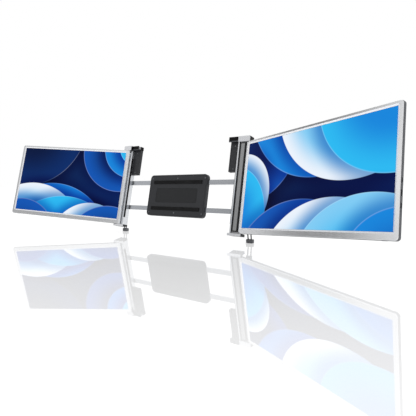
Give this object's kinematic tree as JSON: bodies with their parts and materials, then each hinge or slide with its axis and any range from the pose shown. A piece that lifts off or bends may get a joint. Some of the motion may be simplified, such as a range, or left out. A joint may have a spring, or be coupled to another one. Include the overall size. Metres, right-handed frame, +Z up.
{
  "type": "laptop screen extender",
  "caption": "Hinged flat displays on a telescoping frame that clamps over a laptop's lid, with folding legs behind the columns.",
  "frame": {"origin": "middle of the lower edge of the laptop lid that the part hangs on, on the lid's screen face", "axes": "+X to the viewer's right along the lid's lower edge, +Y away from the viewer, +Z up; the lid and the columns lean back 12 degrees, as in use"},
  "size_m": [1.0606, 0.2022, 0.2631],
  "materials": {
    "hub_plastic": "fine-grained moulded plastic",
    "guide_plastic": "smooth slippery plastic",
    "soft_pad": "soft matt rubber",
    "column_aluminium": "fine blasted and anodised",
    "black_plastic": "satin moulded plastic",
    "dark_plastic": "satin moulded plastic",
    "silver_trim": "bright satin anodised",
    "steel": "ground",
    "bright_steel": "polished",
    "grey_metal": "satin grey",
    "grey_rubber": "matt dark grey rubber",
    "spring_steel": "drawn wire",
    "foot_rubber": "matt dark grey rubber",
    "spine_black": "semi-gloss black",
    "spine_grey": "brushed grey inlay",
    "silver_frame": "fine satin silver",
    "display_glass": "lit display behind a smooth film",
    "rear_aluminium": "fine blasted and anodised",
    "circuit_board": "solder-masked board",
    "bright_metal": "plated sheet metal",
    "button_plastic": "satin moulded plastic",
    "screw_steel": "dark plated steel"
  },
  "bodies": {
    "rear_frame": {"centre_housing": "hub_plastic", "centre_cover": "hub_plastic", "rail_guides": "guide_plastic", "lid_pads": "soft_pad"},
    "left_column": {"left_column_tube": "column_aluminium", "left_top_cap": "black_plastic", "left_top_plate": "silver_trim", "left_bottom_cap": "dark_plastic", "left_bottom_plate": "silver_trim", "left_edge_pad": "soft_pad", "left_rails": "steel", "left_clamp_housing": "hub_plastic", "left_leg_bracket": "dark_plastic", "left_leg_pin": "steel", "left_hinge_pins": "steel", "left_clamp_springs": "spring_steel"},
    "left_arm": {"left_clamp_arm": "black_plastic", "left_arm_bracket": "grey_metal", "left_arm_pad": "grey_rubber"},
    "left_leg": {"left_leg_sleeve": "dark_plastic"},
    "left_foot": {"left_leg_rods": "bright_steel", "left_foot": "foot_rubber"},
    "left_screen": {"left_front_frame": "silver_frame", "left_display": "display_glass", "left_rear_cover": "rear_aluminium", "left_control_board": "circuit_board", "left_sockets": "bright_metal", "left_hinge_barrel": "silver_frame", "left_cover_screws": "screw_steel"},
    "left_button": {"left_power_button": "button_plastic"},
    "right_column": {"right_column_tube": "column_aluminium", "right_top_cap": "black_plastic", "right_top_plate": "silver_trim", "right_bottom_cap": "dark_plastic", "right_bottom_plate": "silver_trim", "right_edge_pad": "soft_pad", "right_rails": "steel", "right_clamp_housing": "hub_plastic", "right_leg_bracket": "dark_plastic", "right_leg_pin": "steel", "right_hinge_pins": "steel", "right_clamp_springs": "spring_steel"},
    "right_arm": {"right_clamp_arm": "black_plastic", "right_arm_bracket": "grey_metal", "right_arm_pad": "grey_rubber"},
    "right_leg": {"right_leg_sleeve": "dark_plastic"},
    "right_foot": {"right_leg_rods": "bright_steel", "right_foot": "foot_rubber"},
    "right_screen": {"right_front_frame": "silver_frame", "right_display": "display_glass", "right_rear_cover": "rear_aluminium", "right_control_board": "circuit_board", "right_sockets": "bright_metal", "right_hinge_barrel": "silver_frame", "right_cover_screws": "screw_steel"},
    "right_button": {"right_power_button": "button_plastic"},
    "spine": {"spine_body": "spine_black", "spine_inlay": "spine_grey", "spine_links": "grey_metal", "spine_pins": "steel"}
  },
  "joints": [
    {"name": "left_column_slide", "type": "slide", "parent": "rear_frame", "child": "left_column", "axis": [-1, 0, 0], "range_m": [0, 0.026]},
    {"name": "left_clamp_slide", "type": "slide", "parent": "left_column", "child": "left_arm", "axis": [0, 0.2079, 0.9781], "range_m": [0, 0.02], "stiffness_N_per_m": 350, "springref_m": -0.02, "deforming": ["left_clamp_springs"]},
    {"name": "left_leg_fold", "type": "hinge", "parent": "left_column", "child": "left_leg", "pos_m": [-0.20705, 0.03733, 0.04093], "axis": [1, 0, 0], "range_deg": [-20, 75]},
    {"name": "left_leg_extend", "type": "slide", "parent": "left_leg", "child": "left_foot", "axis": [0, 0.1444, -0.9895], "range_m": [-0.005, 0.008]},
    {"name": "right_column_slide", "type": "slide", "parent": "rear_frame", "child": "right_column", "axis": [1, 0, 0], "range_m": [0, 0.026]},
    {"name": "right_clamp_slide", "type": "slide", "parent": "right_column", "child": "right_arm", "axis": [0, 0.2079, 0.9781], "range_m": [0, 0.02], "stiffness_N_per_m": 350, "springref_m": -0.02, "deforming": ["right_clamp_springs"]},
    {"name": "right_leg_fold", "type": "hinge", "parent": "right_column", "child": "right_leg", "pos_m": [0.20705, 0.03733, 0.04093], "axis": [1, 0, 0], "range_deg": [-20, 75]},
    {"name": "right_leg_extend", "type": "slide", "parent": "right_leg", "child": "right_foot", "axis": [0, 0.1444, -0.9895], "range_m": [-0.005, 0.008]},
    {"name": "spine_hinge", "type": "hinge", "parent": "right_column", "child": "spine", "pos_m": [0.184, 0.02886, 0.11655], "axis": [0, -0.2079, -0.9781], "range_deg": [0, 90]},
    {"name": "left_screen_hinge", "type": "hinge", "parent": "left_column", "child": "left_screen", "pos_m": [-0.1866, 0.02074, 0.11827], "axis": [0, 0.2079, 0.9781], "range_deg": [-51, 158.5]},
    {"name": "right_screen_hinge", "type": "hinge", "parent": "spine", "child": "right_screen", "pos_m": [0.2014, 0.02886, 0.11655], "axis": [0, -0.2079, -0.9781], "range_deg": [-51, 68.5]},
    {"name": "left_power_button_press", "type": "slide", "parent": "left_screen", "child": "left_button", "axis": [0, 0.2079, 0.9781], "range_m": [0, 0.0006], "stiffness_N_per_m": 600, "springref_m": -0.002},
    {"name": "right_power_button_press", "type": "slide", "parent": "right_screen", "child": "right_button", "axis": [0, 0.2079, 0.9781], "range_m": [0, 0.0006], "stiffness_N_per_m": 600, "springref_m": -0.002}
  ]
}
